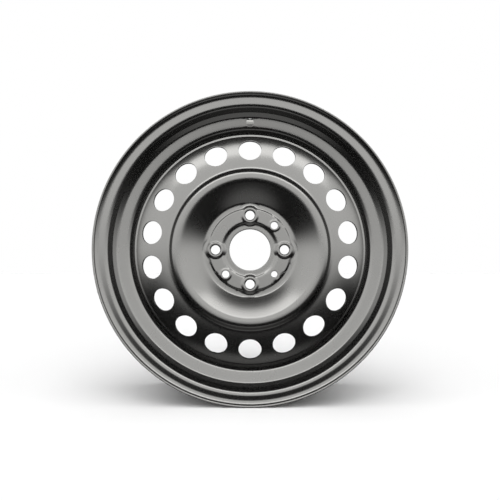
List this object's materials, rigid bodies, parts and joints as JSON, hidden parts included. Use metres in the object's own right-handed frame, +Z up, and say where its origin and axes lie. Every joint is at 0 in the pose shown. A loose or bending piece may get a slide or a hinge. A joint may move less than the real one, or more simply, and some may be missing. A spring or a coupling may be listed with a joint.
{
  "type": "car wheel",
  "caption": "Bare pressed-steel car wheel with a rolled drop-centre rim, a dished disc with a ring of round vents, a centre bore and raised bolt seats.",
  "frame": {"origin": "centre of the wheel: on the axle line, midway between the two flanges", "axes": "+Z up through the valve hole, -Y along the axle towards the street side, +X to the right as seen from the street"},
  "size_m": [0.4406, 0.178, 0.4406],
  "materials": {
    "steel": "satin grey paint on pressed steel",
    "weld": "satin grey paint over a weld bead"
  },
  "bodies": {
    "root": {"rim": "steel", "disc": "steel", "weld_1": "weld", "weld_2": "weld", "weld_3": "weld", "weld_4": "weld", "weld_5": "weld", "weld_6": "weld", "weld_7": "weld", "weld_8": "weld"}
  },
  "joints": []
}
